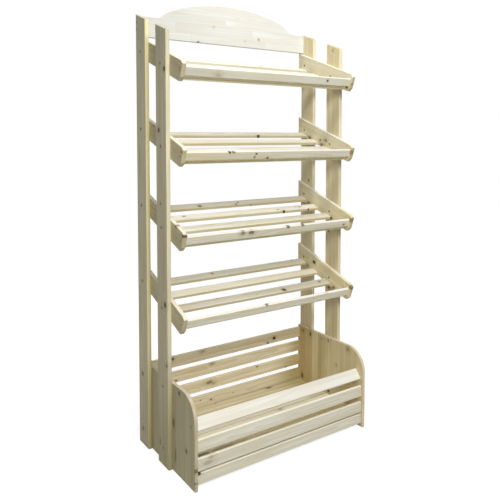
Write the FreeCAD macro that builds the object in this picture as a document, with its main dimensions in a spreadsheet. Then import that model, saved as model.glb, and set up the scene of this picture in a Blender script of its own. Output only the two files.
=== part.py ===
import FreeCAD, Part
import os
import re
import Sketcher
from FreeCAD import Placement, Rotation, Vector

# Pine bread rack: four flat posts, a crested header board, four sloping slatted shelves
# and a slatted bin at the foot.
# Millimetres. +Z up, X across the rack, the front faces -Y.
# The origin is the centre of the rack's footprint on the floor.
# Each piece is drawn looking along X: "reach" runs forward from the rack's rear plane,
# "height" runs up. A shelf's pieces share one frame that is tipped by the shelf's slope,
# with its corner at the rear bottom edge of the side boards.

SIZES = [
    # whole rack
    ("RackWidth", 950, "over the posts' outer faces"),
    ("RackDepth", 485, "rear plane to the front of the bin's ends"),
    ("Slope", 20, "degrees: shelves and post tops fall to the front"),
    ("EdgeEase", 1.5, "bevel along the boards' edges"),
    ("HousingDepth", 6, "slats and bin boards are let into the side pieces this far"),
    # posts
    ("PostThick", 18, ""),
    ("PostDepth", 95, ""),
    ("FrontPostReach", 198, "rear plane to the front posts' rear edge"),
    ("RearPostHeight", 1910, "at the rear edge, the tallest point of the saw cut"),
    # header board
    ("HeaderThick", 18, ""),
    ("HeaderLap", 97, "rear post's top to the header's bottom edge, which tops shelf 1"),
    ("ShoulderHeight", 90, "header's bottom edge to its flat shoulders"),
    ("ShoulderLength", 70, "flat part beside each post"),
    ("OgeeLength", 107, "across, from the shoulder to the crown arc"),
    ("OgeeRise", 50.7, ""),
    ("HollowRadius", 62, "concave arc beside the shoulder"),
    ("CrownRise", 41.3, "height of the crown arc over its ends"),
    # shelves
    ("ShelfSpacing", 334, ""),
    ("SideThick", 18, ""),
    ("SideHeight", 82, "square to the slope"),
    ("SideLength", 403, "along the bottom edge's line, to the nose"),
    ("NoseTopLength", 18, "cut-off corner above the nose, along the board"),
    ("NoseTopDrop", 8.5, ""),
    ("NoseBottomLength", 12, "cut-off corner below the nose, along the board"),
    ("NoseBottomRise", 20, ""),
    ("SlatThick", 14, ""),
    ("SlatWidth", 46, ""),
    ("SlatStart", 18, "rear bottom corner to the first slat"),
    ("SlatStep", 101.5, ""),
    ("RailThick", 15, ""),
    ("RailHeight", 35, ""),
    ("RailLift", 24.3, "side board's bottom edge to the rail"),
    ("RailSetback", 10, "nose to the rail's face"),
    # bin
    ("BinEndThick", 15, ""),
    ("BinHeight", 367, ""),
    ("BinCornerRadius", 100, "front top corner of the ends"),
    ("BinSlatThick", 14, ""),
    ("BackSlatHeight", 53, ""),
    ("BackSlatTop", 356.5, "top of the highest back slat"),
    ("BackSlatLift", 6, "floor boards to the lowest back slat"),
    ("FrontSetback", 10.5, "front edge of the ends to the front slats' faces"),
    ("FrontSlatHeight", 50, ""),
    ("FrontSlatTop", 198, "top of the upper front slat"),
    ("FrontSlatStep", 76, ""),
    ("PlinthBottom", 19, ""),
    ("PlinthHeight", 45, ""),
    ("LipTilt", 40, "degrees: lip board leans to the rear"),
    ("LipWidth", 52, ""),
    ("LipBottom", 232.5, "floor to the lip's lower front edge"),
    ("LipSetback", 14.5, "front edge of the ends to the lip's lower front edge"),
    ("FloorTop", 73, ""),
    ("FloorThick", 14, ""),
    ("FloorGap", 3, "between floor boards"),
    ("CleatThick", 18, ""),
    ("CleatHeight", 28, ""),
    # connecting bolts through posts and side boards
    ("BoltHeight", 35, "above the side board's bottom edge, square to the slope"),
    ("BoltRadius", 3, ""),
    ("BoltHeadRadius", 7, ""),
    ("BoltHeadThick", 1.5, ""),
    ("BoltEndGap", 1, "bolt's end to the side board's inner face"),
    ("BoreClearance", 0.25, "round each bolt"),
]

SHELVES = 4
SLATS_PER_SHELF = 4
BACK_SLATS = 4
FRONT_SLATS = 2
FLOOR_BOARDS = 4
SIDES = {"left": -1, "right": 1}

# Expressions that several pieces share
REAR = "RackDepth / 2"
HEADER_BOTTOM = "(RearPostHeight - HeaderLap)"
POST_INNER = "(RackWidth / 2 - PostThick)"
SIDE_INNER = "(RackWidth / 2 - PostThick - SideThick)"
BIN_INNER = "(RackWidth / 2 - PostThick - BinEndThick)"
REAR_POST_MIDDLE = "(PostDepth / 2)"
FRONT_POST_MIDDLE = "(FrontPostReach + PostDepth / 2)"
FRONT_FACE = "(RackDepth - FrontSetback)"
RAIL_REACH = "(SideLength - RailSetback - RailThick)"

doc = FreeCAD.newDocument("BreadRack")
sheet = doc.addObject("Spreadsheet::Sheet", "Sizes")
for row, (alias, size, note) in enumerate(SIZES, 1):
    sheet.set(f"A{row}", alias)
    sheet.set(f"B{row}", str(size))
    sheet.set(f"C{row}", note)
    sheet.setAlias(f"B{row}", alias)
doc.recompute()

nodes = []


# ---- helpers ---------------------------------------------------------------------------

def value(formula):
    return float(sheet.evalExpression(formula))


def bind(item, path, formula):
    """Tie one property to the spreadsheet; the formulas name its cells by their aliases."""
    item.setExpression(path, re.sub(r"\b([A-Z]\w*)", r"Sizes.\1", formula))


def place(item, across="0", rear="0", up="0"):
    bind(item, "Placement.Base.x", across)
    bind(item, "Placement.Base.y", rear)
    bind(item, "Placement.Base.z", up)


def new_body(label, across="0", up="0", tilt=None):
    """A piece whose own frame sits on the rack's rear plane, tipped about X by tilt."""
    body = doc.addObject("PartDesign::Body", label)
    body.Label = label
    if tilt:
        body.Placement = Placement(Vector(), Rotation(Vector(1, 0, 0), value(tilt)))
        bind(body, "Placement.Rotation.Angle", tilt)
    place(body, across, REAR, up)
    nodes.append(body)
    return body


def new_sketch(body, name, plane_role="YZ_Plane"):
    sketch = body.newObject("Sketcher::SketchObject", name)
    plane = next(item for item in body.Origin.OriginFeatures if item.Role == plane_role)
    sketch.AttachmentSupport = [(plane, "")]
    sketch.MapMode = "FlatFace"
    return sketch


def dimension(sketch, kind, *geometry, formula):
    number = sketch.addConstraint(Sketcher.Constraint(kind, *geometry, value(formula)))
    bind(sketch, f"Constraints[{number}]", formula)


def outline(sketch, corners):
    """Closed polygon; each corner is (reach, height), each a formula of 0 or more."""
    points = [Vector(-value(reach), value(height), 0) for reach, height in corners]
    first = sketch.GeometryCount
    lines = range(first, first + len(points))
    for n, point in enumerate(points):
        sketch.addGeometry(Part.LineSegment(point, points[(n + 1) % len(points)]))
    for n, line in enumerate(lines):
        sketch.addConstraint(Sketcher.Constraint("Coincident", lines[n - 1], 2, line, 1))
    for n, (reach, height) in enumerate(corners):
        line = lines[n]
        reach_before, height_before = corners[n - 1] if n else (None, None)
        if reach == reach_before:
            sketch.addConstraint(Sketcher.Constraint("Vertical", line - 1))
        elif reach == "0":
            sketch.addConstraint(Sketcher.Constraint("PointOnObject", line, 1, -2))
        else:
            dimension(sketch, "DistanceX", line, 1, -1, 1, formula=reach)
        if height == height_before:
            sketch.addConstraint(Sketcher.Constraint("Horizontal", line - 1))
        elif height == "0":
            sketch.addConstraint(Sketcher.Constraint("PointOnObject", line, 1, -1))
        else:
            dimension(sketch, "DistanceY", -1, 1, line, 1, formula=height)


def rectangle(corner, depth, rise):
    """Corners of a board's section, from its rear bottom corner."""
    reach, height = corner
    far = depth if reach == "0" else f"({reach} + {depth})"
    high = rise if height == "0" else f"({height} + {rise})"
    return [(reach, height), (far, height), (far, high), (reach, high)]


def pad(body, sketch, thickness, side=0):
    """Thickness along X: outward on one side of the rack, or centred with side 0."""
    feature = body.newObject("PartDesign::Pad", sketch.Name + "Pad")
    feature.Profile = sketch
    feature.Midplane = side == 0
    feature.Reversed = side < 0
    bind(feature, "Length", thickness)
    doc.recompute()
    return feature


def dress_edges(body, kind, size_name, size, chosen):
    """Fillet or chamfer the edges that the test picks out."""
    base = body.Tip
    edges = [f"Edge{n}" for n, edge in enumerate(base.Shape.Edges, 1) if chosen(edge)]
    feature = body.newObject(f"PartDesign::{kind}", kind)
    feature.Base = (base, edges)
    bind(feature, size_name, size)
    doc.recompute()


def ease_long_edges(body):
    dress_edges(body, "Chamfer", "Size", "EdgeEase",
                lambda edge: abs(start_direction(edge).x) > 0.99)


def ease_face_edges(body, axis=Vector(1, 0, 0)):
    """Bevel the outline of both broad faces, whose normal is the axis."""
    dress_edges(body, "Chamfer", "Size", "EdgeEase",
                lambda edge: abs(start_direction(edge).dot(axis)) < 0.01)


def start_direction(edge):
    return edge.tangentAt(edge.FirstParameter)


def cut(body, sketch, side=0, depth=None):
    """Cut a sketch right through along X, or to a depth from the piece's inner face."""
    before = body.Shape.Volume
    pocket = body.newObject("PartDesign::Pocket", sketch.Name + "Cut")
    pocket.Profile = sketch
    if depth is None:
        pocket.Type = "ThroughAll"
        pocket.Midplane = True
    else:
        pocket.Reversed = side > 0
        bind(pocket, "Length", depth)
    doc.recompute()
    if body.Shape.Volume > before - 1:
        raise RuntimeError(f"{body.Label}: {sketch.Name} cuts nothing")


def drill_bolt_holes(body, centres):
    """Holes along X, right through, at each (reach, height)."""
    sketch = new_sketch(body, "BoltHoles")
    for n, (reach, height) in enumerate(centres):
        centre = Vector(-value(reach), value(height), 0)
        sketch.addGeometry(Part.Circle(centre, Vector(0, 0, 1), value("BoltRadius")))
        dimension(sketch, "DistanceX", n, 3, -1, 1, formula=reach)
        dimension(sketch, "DistanceY", -1, 1, n, 3, formula=height)
        dimension(sketch, "Radius", n, formula="BoltRadius + BoreClearance")
    cut(body, sketch)


def cut_housings(body, sections, side):
    """Sockets in the inner face that hold the ends of the boards with these sections."""
    sketch = new_sketch(body, "Housings")
    for corners in sections:
        outline(sketch, corners)
    cut(body, sketch, side, "HousingDepth")


def shelf_corner(number):
    """Height of a shelf frame's corner above the floor."""
    return f"({HEADER_BOTTOM} - {number} * ShelfSpacing - SideHeight / cos(Slope))"


def bolt_height(number, reach):
    return f"({shelf_corner(number)} + BoltHeight / cos(Slope) - {reach} * tan(Slope))"


# ---- boards that run across the rack -----------------------------------------------------

def cross_board(label, half_length, section, up="0", tilt=None):
    """Board along X between two side pieces, with the corners of its section."""
    body = new_body(label, "0", up, tilt)
    sketch = new_sketch(body, "Section")
    outline(sketch, section)
    pad(body, sketch, f"2 * {half_length}")
    ease_long_edges(body)
    return body


# ---- posts -------------------------------------------------------------------------------

def make_post(row, near, side_name):
    side = SIDES[side_name]
    body = new_body(f"{row}_{side_name}_post", f"{side} * {POST_INNER}")
    sketch = new_sketch(body, "Elevation")
    far = f"({near} + PostDepth)"
    outline(sketch, [
        (near, "0"),
        (far, "0"),
        (far, f"RearPostHeight - {far} * tan(Slope)"),
        (near, f"RearPostHeight - {near} * tan(Slope)"),
    ])
    pad(body, sketch, "PostThick", side)
    ease_face_edges(body)
    middle = REAR_POST_MIDDLE if row == "rear" else FRONT_POST_MIDDLE
    drill_bolt_holes(body, [(middle, bolt_height(n, middle)) for n in range(SHELVES)])


# ---- header board ------------------------------------------------------------------------

def header_outline(sketch):
    """Right half: bottom, end, shoulder, hollow, round, crown arc, centre line."""
    half = value(POST_INNER)
    shoulder = Vector(half - value("ShoulderLength"), value("ShoulderHeight"), 0)
    crown_end = shoulder + Vector(-value("OgeeLength"), value("OgeeRise"), 0)
    crown_rise = value("CrownRise")
    crown_radius = (crown_end.x ** 2 + crown_rise ** 2) / (2 * crown_rise)
    crown_top = Vector(0, crown_end.y + crown_rise, 0)
    crown_centre = crown_top - Vector(0, crown_radius, 0)
    hollow_radius = value("HollowRadius")
    hollow_centre = shoulder + Vector(0, hollow_radius, 0)
    # The round touches the crown arc at its end and the hollow between them.
    inward = (crown_centre - crown_end).normalize()
    offset = crown_end - hollow_centre
    round_radius = (offset.dot(offset) - hollow_radius ** 2) / 2 / (
        hollow_radius - offset.dot(inward))
    round_centre = crown_end + inward * round_radius
    outward = (round_centre - hollow_centre).normalize()
    bend = hollow_centre + outward * hollow_radius

    def arc(start, end, centre, radius, swell):
        middle = centre + ((start + end) / 2 - centre).normalize() * radius
        return Part.Arc(start, middle, end) if swell else Part.Arc(end, middle, start)

    origin = Vector(0, 0, 0)
    sketch.addGeometry(Part.LineSegment(origin, Vector(half, 0, 0)))
    sketch.addGeometry(Part.LineSegment(Vector(half, 0, 0), Vector(half, shoulder.y, 0)))
    sketch.addGeometry(Part.LineSegment(Vector(half, shoulder.y, 0), shoulder))
    sketch.addGeometry(arc(shoulder, bend, hollow_centre, hollow_radius, False))
    sketch.addGeometry(arc(bend, crown_end, round_centre, round_radius, True))
    sketch.addGeometry(arc(crown_end, crown_top, crown_centre, crown_radius, True))
    sketch.addGeometry(Part.LineSegment(crown_top, origin))
    bottom, end, flat, hollow, curve, crown, axis = range(7)
    for kind, *geometry in [
        ("Coincident", bottom, 1, -1, 1),
        ("Coincident", bottom, 2, end, 1),
        ("Coincident", end, 2, flat, 1),
        ("Coincident", crown, 2, axis, 1),
        ("Coincident", axis, 2, bottom, 1),
        ("Horizontal", bottom),
        ("Vertical", end),
        ("Horizontal", flat),
        ("Vertical", axis),
        ("PointOnObject", crown, 3, -2),
        ("Tangent", flat, 2, hollow, 2),
        ("Tangent", hollow, 1, curve, 1),
        ("Tangent", curve, 2, crown, 1),
    ]:
        sketch.addConstraint(Sketcher.Constraint(kind, *geometry))
    dimension(sketch, "DistanceX", bottom, 1, bottom, 2, formula=POST_INNER)
    dimension(sketch, "DistanceY", end, 1, end, 2, formula="ShoulderHeight")
    dimension(sketch, "DistanceX", flat, 2, flat, 1, formula="ShoulderLength")
    dimension(sketch, "DistanceX", crown, 1, flat, 2, formula="OgeeLength")
    dimension(sketch, "DistanceY", flat, 2, crown, 1, formula="OgeeRise")
    dimension(sketch, "DistanceY", crown, 1, crown, 2, formula="CrownRise")
    dimension(sketch, "Radius", hollow, formula="HollowRadius")


def make_header():
    body = new_body("header_board", "0", HEADER_BOTTOM)
    sketch = new_sketch(body, "HalfCrest", "XZ_Plane")
    header_outline(sketch)
    pad(body, sketch, "HeaderThick", 1)
    mirror = body.newObject("PartDesign::Mirrored", "OtherHalf")
    mirror.Originals = [body.Tip]
    mirror.MirrorPlane = (sketch, ["V_Axis"])
    body.Tip = mirror
    doc.recompute()
    ease_face_edges(body, Vector(0, 1, 0))


# ---- shelves -----------------------------------------------------------------------------

def slat_section(number):
    corner = (f"(SlatStart + {number} * SlatStep)", "0")
    return rectangle(corner, "SlatWidth", "SlatThick")


def make_side_board(shelf, side_name):
    side = SIDES[side_name]
    body = new_body(f"shelf_{shelf + 1}_{side_name}_side", f"{side} * {SIDE_INNER}",
                    shelf_corner(shelf), "Slope")
    sketch = new_sketch(body, "Elevation")
    outline(sketch, [
        ("0", "0"),
        ("(SideLength - NoseBottomLength)", "0"),
        ("SideLength", "NoseBottomRise"),
        ("SideLength", "(SideHeight - NoseTopDrop)"),
        ("(SideLength - NoseTopLength)", "SideHeight"),
        ("(-SideHeight * tan(Slope))", "SideHeight"),
    ])
    pad(body, sketch, "SideThick", side)
    ease_face_edges(body)
    drill_bolt_holes(body, [
        (f"({reach} / cos(Slope) - BoltHeight * tan(Slope))", "BoltHeight")
        for reach in (REAR_POST_MIDDLE, FRONT_POST_MIDDLE)])
    cut_housings(body, [slat_section(n) for n in range(SLATS_PER_SHELF)], side)


def make_shelf(shelf):
    for side_name in SIDES:
        make_side_board(shelf, side_name)
    frame = {"up": shelf_corner(shelf), "tilt": "Slope"}
    for n in range(SLATS_PER_SHELF):
        cross_board(f"shelf_{shelf + 1}_slat_{n + 1}", f"({SIDE_INNER} + HousingDepth)",
                    slat_section(n), **frame)
    cross_board(f"shelf_{shelf + 1}_front_rail", SIDE_INNER,
                rectangle((RAIL_REACH, "RailLift"), "RailThick", "RailHeight"), **frame)


# ---- bin ---------------------------------------------------------------------------------

FRONT_REACH = f"({FRONT_FACE} - BinSlatThick)"
LIP_REACH = "(RackDepth - LipSetback)"
LIP_REAR = f"({LIP_REACH} - BinSlatThick * cos(LipTilt))"
LIP_LOW = "(LipBottom - BinSlatThick * sin(LipTilt))"


def bin_slat(reach, top, height, step, number):
    corner = (reach, f"({top} - {number} * {step} - {height})")
    return rectangle(corner, "BinSlatThick", height)


def lip_section():
    """The leaning lip board, seen in the bin's upright frame."""
    back, rise = "LipWidth * sin(LipTilt)", "LipWidth * cos(LipTilt)"
    return [
        (LIP_REAR, LIP_LOW),
        (LIP_REACH, "LipBottom"),
        (f"({LIP_REACH} - {back})", f"(LipBottom + {rise})"),
        (f"({LIP_REAR} - {back})", f"({LIP_LOW} + {rise})"),
    ]


def upright_boards():
    """Name and section of each board that stands between the bin's ends."""
    back_step = f"((BackSlatTop - BackSlatHeight - BackSlatLift - FloorTop) / {BACK_SLATS - 1})"
    boards = {f"bin_back_slat_{n + 1}": bin_slat("0", "BackSlatTop", "BackSlatHeight", back_step, n)
              for n in range(BACK_SLATS)}
    boards.update({f"bin_front_slat_{n + 1}":
                   bin_slat(FRONT_REACH, "FrontSlatTop", "FrontSlatHeight", "FrontSlatStep", n)
                   for n in range(FRONT_SLATS)})
    boards["bin_front_plinth"] = rectangle((FRONT_REACH, "PlinthBottom"),
                                           "BinSlatThick", "PlinthHeight")
    return boards


def make_bin_end(side_name):
    side = SIDES[side_name]
    body = new_body(f"bin_{side_name}_end", f"{side} * {BIN_INNER}")
    sketch = new_sketch(body, "Elevation")
    outline(sketch, rectangle(("0", "0"), "RackDepth", "BinHeight"))
    pad(body, sketch, "BinEndThick", side)
    corner = Vector(0, -value("RackDepth"), value("BinHeight"))
    dress_edges(body, "Fillet", "Radius", "BinCornerRadius", lambda edge: all(
        abs(point.Y - corner.y) + abs(point.Z - corner.z) < 0.01 for point in edge.Vertexes))
    ease_face_edges(body)
    cut_housings(body, [*upright_boards().values(), lip_section()], side)


def make_bin():
    for side_name in SIDES:
        make_bin_end(side_name)
    housed = f"({BIN_INNER} + HousingDepth)"
    for label, section in upright_boards().items():
        cross_board(label, housed, section)
    lip = cross_board("bin_lip", housed,
                      rectangle(("0", "0"), "BinSlatThick", "LipWidth"),
                      LIP_LOW, "-LipTilt")
    bind(lip, "Placement.Base.y", f"{REAR} - {LIP_REAR}")
    step = f"(({FRONT_REACH} + FloorGap) / {FLOOR_BOARDS})"
    for n in range(FLOOR_BOARDS):
        corner = (f"({n} * {step})", "(FloorTop - FloorThick)")
        cross_board(f"bin_floor_board_{n + 1}", BIN_INNER,
                    rectangle(corner, f"({step} - FloorGap)", "FloorThick"))
    for side_name, side in SIDES.items():
        make_cleat(side_name, side)


def make_cleat(side_name, side):
    """Batten on the inside of a bin end that carries the floor boards."""
    body = new_body(f"bin_{side_name}_cleat", f"{side} * ({BIN_INNER} - CleatThick)")
    sketch = new_sketch(body, "Section")
    corner = ("BinSlatThick", "(FloorTop - FloorThick - CleatHeight)")
    outline(sketch, rectangle(corner, f"({FRONT_REACH} - BinSlatThick)", "CleatHeight"))
    pad(body, sketch, "CleatThick", side)


# ---- bolts -------------------------------------------------------------------------------

def cylinder(name, radius, length, start="0"):
    rod = doc.addObject("Part::Cylinder", name)
    bind(rod, "Radius", radius)
    bind(rod, "Height", length)
    bind(rod, "Placement.Base.z", start)
    return rod


def make_bolts():
    """One bolt along +Z with the underside of its head at zero, and a link for each place."""
    bolt = doc.addObject("Part::MultiFuse", "Bolt")
    bolt.Shapes = [
        cylinder("BoltShank", "BoltRadius", "PostThick + SideThick - BoltEndGap"),
        cylinder("BoltHead", "BoltHeadRadius", "BoltHeadThick", "-BoltHeadThick"),
    ]
    links = []
    for side_name, side in SIDES.items():
        for shelf in range(SHELVES):
            for reach in (REAR_POST_MIDDLE, FRONT_POST_MIDDLE):
                link = doc.addObject("App::Link", f"{side_name}_bolt_{len(links) + 1}")
                link.LinkedObject = bolt
                link.Placement = Placement(Vector(), Rotation(Vector(0, 1, 0), -90 * side))
                place(link, f"{side} * RackWidth / 2", f"{REAR} - {reach}",
                      bolt_height(shelf, reach))
                links.append(link)
    node = doc.addObject("Part::Compound", "shelf_bolts")
    node.Label = "shelf_bolts"
    node.Links = links
    nodes.append(node)


# ---- assembly ----------------------------------------------------------------------------

for side_name in SIDES:
    make_post("rear", "0", side_name)
    make_post("front", "FrontPostReach", side_name)
make_header()
for shelf in range(SHELVES):
    make_shelf(shelf)
make_bin()
make_bolts()
doc.recompute()

for item in doc.Objects:
    if "Invalid" in item.State or "Error" in item.State:
        raise RuntimeError(f"{item.Label}: {item.State}")
for node in nodes:
    if node.Shape.isNull() or not node.Shape.isValid():
        raise RuntimeError(f"{node.Label}: shape is not valid")

os.makedirs("parts", exist_ok=True)
for node in nodes:
    node.Shape.exportStep(f"parts/{node.Label}.step")
print(len(nodes), "nodes written")
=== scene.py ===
"""Bakery bread rack in pine: a crested header board, four sloping shelves and an open bin.

Every board is one of the rack's own solids and keeps its shape. What is added here is the
wood itself, board by board, with light and shade painted onto many of the boards, the screws
and nuts, and the studio the rack stands in.
Lengths are metres, in the rack's frame: X to the right, Y to the back, Z up.
"""

import math
import random

import bmesh
import bpy
from mathutils import Matrix, Vector


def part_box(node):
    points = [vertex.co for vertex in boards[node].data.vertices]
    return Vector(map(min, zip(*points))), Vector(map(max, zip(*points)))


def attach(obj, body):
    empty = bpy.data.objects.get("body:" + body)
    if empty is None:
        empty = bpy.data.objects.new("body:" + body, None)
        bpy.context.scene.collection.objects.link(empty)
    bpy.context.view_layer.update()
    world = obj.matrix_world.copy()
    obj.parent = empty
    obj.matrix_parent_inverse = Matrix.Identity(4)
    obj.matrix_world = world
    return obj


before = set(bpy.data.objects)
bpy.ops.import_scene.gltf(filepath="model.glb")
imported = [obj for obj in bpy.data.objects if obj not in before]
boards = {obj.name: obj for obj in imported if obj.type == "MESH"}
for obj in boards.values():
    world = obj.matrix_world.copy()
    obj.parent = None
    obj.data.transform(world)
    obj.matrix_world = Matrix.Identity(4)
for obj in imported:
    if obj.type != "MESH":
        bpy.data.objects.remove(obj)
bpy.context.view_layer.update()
scene = bpy.context.scene

# ---- sizes of the rack, from its own boards where they give them ---------------------------

REAR_POST, FRONT_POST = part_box("rear_right_post"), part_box("front_right_post")
TOP_SIDE, NEXT_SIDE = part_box("shelf_1_right_side"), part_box("shelf_2_right_side")

BACK = REAR_POST[1].y               # the back of the rack, along Y
POST_OUTSIDE = REAR_POST[1].x       # outer face of the posts, along X
SIDE_OUTSIDE = TOP_SIDE[1].x        # outer face of the shelf sides
SIDE_INSIDE = TOP_SIDE[0].x         # inner face of the shelf sides
SIDE_HEIGHT = 0.082                 # square to the slope
SLOPE = math.radians(20)            # the shelves fall towards the front
SHELF_CORNER = TOP_SIDE[1].z - SIDE_HEIGHT / math.cos(SLOPE)    # the top side's, low at the back
SHELF_SPACING = TOP_SIDE[1].z - NEXT_SIDE[1].z
SHELVES = 4
SLATS = 4                           # on each shelf, and at the bin's back and in its floor
UP_THE_LIP = (0, 0.643, 0.766)      # the bin's lip leans 40 degrees to the rear
BOLT_LINE = 0.035                   # the bolts lie this far above the lower edge of a shelf side
BOLT_REACHES = [BACK - (low.y + high.y) / 2 for low, high in (REAR_POST, FRONT_POST)]
BOLT_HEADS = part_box("shelf_bolts")[1].x     # outer face of the bolt heads
RAIL_SCREW = (0.3855, 0.0418)       # down the slope from the back corner, up from the lower edge
BIN_SCREWS = ((0.2025, 0.320), (0.2025, 0.075), (-0.0025, 0.340), (-0.0025, 0.075))    # Y and Z
HEADER_SCREWS = ((0.2305, 1.845), (0.2305, 1.876))                                     # Y and Z


# ---- joining up shader nodes ---------------------------------------------------------------

NUMBER, ARROW, COLOUR = "NodeSocketFloat", "NodeSocketVector", "NodeSocketColor"
WHITE = (1.0, 1.0, 1.0)


def feed(tree, socket, value):
    """Links an output to a socket, or sets the socket to a plain number, arrow or colour."""
    if isinstance(value, bpy.types.NodeSocket):
        tree.links.new(value, socket)
    elif socket.type == "RGBA":
        socket.default_value = (*value, 1)
    else:
        socket.default_value = value


def sums(tree, operation, *values, clamp=False):
    """Reckons with numbers."""
    node = tree.nodes.new("ShaderNodeMath")
    node.operation = operation
    node.use_clamp = clamp
    for socket, value in zip(node.inputs, values):
        feed(tree, socket, value)
    return node.outputs[0]


def arrows(tree, operation, *values):
    """Reckons with arrows. SCALE takes an arrow and a number."""
    node = tree.nodes.new("ShaderNodeVectorMath")
    node.operation = operation
    sockets = [node.inputs[0], node.inputs["Scale"]] if operation == "SCALE" else node.inputs
    for socket, value in zip(sockets, values):
        feed(tree, socket, value)
    return node.outputs["Value" if operation == "LENGTH" else "Vector"]


def parts_of(tree, vector):
    """The three numbers of an arrow: along, across and through the board."""
    node = tree.nodes.new("ShaderNodeSeparateXYZ")
    feed(tree, node.inputs[0], vector)
    return node.outputs


def ramp(tree, value, start, end):
    """Smooth change from 0 to 1 as value goes from start to end."""
    node = tree.nodes.new("ShaderNodeMapRange")
    node.interpolation_type = "SMOOTHSTEP"
    for socket, number in zip(node.inputs, (value, start, end)):
        feed(tree, socket, number)
    return node.outputs[0]


def speckle(tree, vector, stretch, detail=2.0, colour=False):
    """Cloudy noise with its own scale along, across and through the board."""
    node = tree.nodes.new("ShaderNodeTexNoise")
    feed(tree, node.inputs["Vector"], arrows(tree, "MULTIPLY", vector, stretch))
    node.inputs["Scale"].default_value = 1.0
    node.inputs["Detail"].default_value = detail
    return node.outputs["Color" if colour else "Fac"]


def waver(tree, vector, stretch):
    """Cloudy noise as a number to either side of nothing."""
    return sums(tree, "SUBTRACT", speckle(tree, vector, stretch), 0.5)


def stray(tree, vector, stretch, detail):
    """Cloudy noise as an arrow to any side."""
    return arrows(tree, "SUBTRACT", speckle(tree, vector, stretch, detail, colour=True),
                  (0.5, 0.5, 0.5))


def tint(tree, amount, first, second, blend="MIX"):
    """Goes from the first colour to the second, or blends them, by an amount from 0 to 1."""
    node = tree.nodes.new("ShaderNodeMix")
    node.data_type = "RGBA"
    node.blend_type = blend
    feed(tree, node.inputs[0], amount)
    feed(tree, node.inputs[6], first)
    feed(tree, node.inputs[7], second)
    return node.outputs[2]


def stain(tree, colour, over):
    """Multiplies a colour by another, as a stain laid over it does."""
    return tint(tree, 1.0, colour, over, "MULTIPLY")


def relief_on(tree, shader, height, strength, distance):
    """Raises and sinks the surface a little, by a height from 0 to 1."""
    relief = tree.nodes.new("ShaderNodeBump")
    relief.inputs["Strength"].default_value = strength
    relief.inputs["Distance"].default_value = distance
    feed(tree, relief.inputs["Height"], height)
    feed(tree, shader.inputs["Normal"], relief.outputs[0])


def new_group(name, inputs, outputs):
    """Empty node group with named sockets, and the sockets inside it."""
    tree = bpy.data.node_groups.new(name, "ShaderNodeTree")
    for label, kind, value in inputs:
        socket = tree.interface.new_socket(name=label, in_out="INPUT", socket_type=kind)
        socket.default_value = (*value, 1) if kind == COLOUR else value
    for label, kind in outputs:
        tree.interface.new_socket(name=label, in_out="OUTPUT", socket_type=kind)
    given = tree.nodes.new("NodeGroupInput").outputs
    result = tree.nodes.new("NodeGroupOutput").inputs
    return tree, given, result


def use_group(tree, group, **values):
    """Places a group in a tree. Knot_Push=0.1 sets the socket "Knot Push"."""
    node = tree.nodes.new("ShaderNodeGroup")
    node.node_tree = group
    for name, value in values.items():
        feed(tree, node.inputs[name.replace("_", " ")], value)
    return node.outputs


# ---- the wood: what every board shares -----------------------------------------------------

PLACE = ("Vector", ARROW, (0, 0, 0))    # along, across and through the board, from its middle
FACE_ONLY = (1, 1, 0)                   # leaves out how deep a point lies in the board

SEED_STEP = (7.13, 3.71, 11.3)          # from the noise of one seed to that of the next
RING_RIPPLE = 0.0022                    # unevenness of the rings
YEAR_PACE, YEAR_SPREAD = 70.0, 2.2      # how fast good and poor years change, and by how much
LATE_WOOD = (0.3, 0.9)                  # a year's wood turns dark between these shares of it
YEAR_END = (1.0, 0.93)                  # and is pale again when the next year starts

KNOT_RIM = (1.15, 0.7)                  # a knot darkens between these distances, in radii
KNOT_RAGGED = 0.7                       # how ragged its outline is
PUSH_FADE, PUSH_SIZE = -0.22, 1.4       # how a knot's push on the rings fades, and its size
PIN_CELLS = (5.5, 16.0)                 # places for a pin knot in a metre, along and across
PIN_STEP = (5.7, 9.1, 0)                # from the places of one seed to those of the next
PIN_SQUEEZE = (0.75, 1, 0)              # makes pin knots a third longer than wide
PIN_RADIUS, PIN_SPREAD = 0.0016, 0.0036     # the least radius, and how much is added at most

COUNT_FROM = 10.0                       # strips and staves are counted from outside the panel
STAVE_JUMP = (3.0, 0.09, 0.09)          # how far apart in the log two staves may have been
SEAM = (0.0012, 0.0003)                 # a seam comes in between these distances from its middle
HEART_STRAY = 0.02                      # how far a band of heartwood strays from its line

BEVEL_SLANT = 0.707                     # a bevel points this much through the board
# The rim tint is a painted shadow, and the end tints are painted light and shade.
RIM_START, RIM_FULL = -0.004, -0.008    # across the board, where its rim tint comes in
BOARD_END = 0.95                        # share of the half length where an end tint is full


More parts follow.
